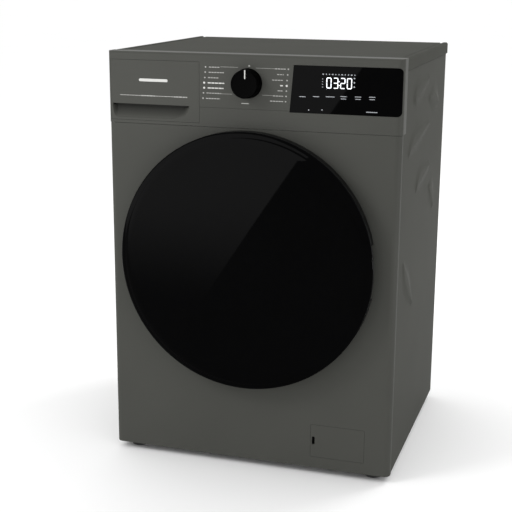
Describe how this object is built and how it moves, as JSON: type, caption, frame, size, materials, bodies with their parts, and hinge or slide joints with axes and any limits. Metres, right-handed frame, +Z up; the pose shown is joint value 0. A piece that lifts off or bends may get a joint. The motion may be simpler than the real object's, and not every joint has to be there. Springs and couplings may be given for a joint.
{
  "type": "front load washing machine",
  "caption": "Free-standing front loading washer: cabinet, porthole door, detergent drawer, control fascia, suspended tub and belt-driven drum.",
  "frame": {"origin": "on the floor under the middle of the overall box, with the feet at Z = 0", "axes": "+X to the machine's right as seen from the front, +Y towards its back, +Z up"},
  "size_m": [0.6, 0.61, 0.85],
  "materials": {
    "body_paint": "satin metallic anthracite",
    "fascia_paint": "satin metallic anthracite",
    "black_gloss": "high gloss",
    "black_plastic": "fine moulded texture",
    "grey_plastic": "moulded",
    "white_plastic": "moulded",
    "stainless": "brushed",
    "zinc_steel": "zinc plated",
    "aluminium": "cast",
    "concrete": "rough cast",
    "gasket_rubber": "matt",
    "black_rubber": "matt",
    "bowl_glass": "clear pressed glass"
  },
  "bodies": {
    "cabinet": {"left_side_panel": "body_paint", "right_side_panel": "body_paint", "rear_panel": "zinc_steel", "rear_access_cover": "zinc_steel", "top_cover": "fascia_paint", "front_panel": "body_paint", "control_fascia": "fascia_paint", "display_window": "black_gloss", "base_tray": "black_plastic", "front_crossbeam": "zinc_steel", "dispenser_housing": "white_plastic", "motor_controller": "black_plastic", "inlet_valve": "white_plastic", "drain_outlet": "black_plastic", "mains_inlet_gland": "black_plastic", "drain_pump": "white_plastic", "door_lock": "white_plastic", "door_hinge_plate": "zinc_steel", "door_gasket": "gasket_rubber", "spring_left": "zinc_steel", "spring_right": "zinc_steel", "damper_tube_left": "black_plastic", "damper_tube_right": "black_plastic"},
    "door": {"door_cover": "black_gloss", "door_outer_frame": "black_plastic", "door_inner_frame": "black_plastic", "door_glass_bowl": "bowl_glass", "door_hinge_arm": "zinc_steel"},
    "release": {"door_handle": "black_plastic", "door_hook": "zinc_steel"},
    "drawer": {"drawer_front": "fascia_paint", "drawer_tray": "white_plastic", "siphon_cap": "grey_plastic"},
    "knob": {"programme_knob": "black_gloss"},
    "flap": {"filter_flap": "fascia_paint"},
    "filter": {"filter_cap": "grey_plastic"},
    "impeller": {"pump_impeller": "grey_plastic"},
    "tub": {"tub_front": "grey_plastic", "tub_rear": "grey_plastic", "upper_counterweight": "concrete", "front_counterweight": "concrete", "heater": "zinc_steel", "bearing_front": "zinc_steel", "bearing_rear": "zinc_steel", "motor_stator": "aluminium", "drive_belt": "black_rubber", "damper_rod_left": "zinc_steel", "damper_rod_right": "zinc_steel"},
    "drum": {"drum_shell": "stainless", "drum_spider": "aluminium", "drum_shaft": "zinc_steel", "drum_pulley": "aluminium", "drum_paddle_1": "grey_plastic", "drum_paddle_2": "grey_plastic", "drum_paddle_3": "grey_plastic"},
    "rotor": {"motor_pulley": "zinc_steel"},
    "foot_fl": {"foot_front_left": "black_rubber"},
    "foot_fr": {"foot_front_right": "black_rubber"},
    "foot_rl": {"foot_rear_left": "black_rubber"},
    "foot_rr": {"foot_rear_right": "black_rubber"}
  },
  "joints": [
    {"name": "door_hinge", "type": "hinge", "parent": "cabinet", "child": "door", "pos_m": [-0.243, -0.278, 0.445], "axis": [0, 0, -1], "range_deg": [0, 110]},
    {"name": "door_release", "type": "hinge", "parent": "door", "child": "release", "pos_m": [0.218, -0.276, 0.445], "axis": [0, 0, -1], "range_deg": [0, 12], "stiffness_Nm_per_rad": 0.6, "springref_deg": -8.59},
    {"name": "drawer_slide", "type": "slide", "parent": "cabinet", "child": "drawer", "axis": [0, -1, 0], "range_m": [0, 0.2]},
    {"name": "knob_turn", "type": "hinge", "parent": "cabinet", "child": "knob", "pos_m": [-0.004, -0.255, 0.7954], "axis": [0, 1, 0], "continuous": true},
    {"name": "flap_hinge", "type": "hinge", "parent": "cabinet", "child": "flap", "pos_m": [0.2455, -0.2548, 0.074], "axis": [0, 0, 1], "range_deg": [0, 100]},
    {"name": "filter_turn", "type": "hinge", "parent": "cabinet", "child": "filter", "pos_m": [0.191, -0.245, 0.074], "axis": [0, -1, 0], "range_deg": [0, 90]},
    {"name": "impeller_spin", "type": "hinge", "parent": "cabinet", "child": "impeller", "pos_m": [0.191, -0.16, 0.074], "axis": [0, 1, 0], "continuous": true},
    {"name": "tub_bounce", "type": "slide", "parent": "cabinet", "child": "tub", "axis": [0, 0, 1], "range_m": [-0.008, 0.008], "stiffness_N_per_m": 15000, "springref_m": 0.0215, "deforming": ["spring_left", "spring_right", "door_gasket"]},
    {"name": "drum_spin", "type": "hinge", "parent": "tub", "child": "drum", "pos_m": [0, 0, 0.445], "axis": [0, 1, 0], "continuous": true},
    {"name": "motor_spin", "type": "hinge", "parent": "tub", "child": "rotor", "pos_m": [0, 0.206, 0.116], "axis": [0, 1, 0], "continuous": true},
    {"name": "foot_fl_level", "type": "slide", "parent": "cabinet", "child": "foot_fl", "axis": [0, 0, -1], "range_m": [0, 0.018]},
    {"name": "foot_fr_level", "type": "slide", "parent": "cabinet", "child": "foot_fr", "axis": [0, 0, -1], "range_m": [0, 0.018]},
    {"name": "foot_rl_level", "type": "slide", "parent": "cabinet", "child": "foot_rl", "axis": [0, 0, -1], "range_m": [0, 0.018]},
    {"name": "foot_rr_level", "type": "slide", "parent": "cabinet", "child": "foot_rr", "axis": [0, 0, -1], "range_m": [0, 0.018]}
  ],
  "couplings": [
    {"joint": "motor_spin", "follows": "drum_spin", "ratio": 13.182}
  ]
}
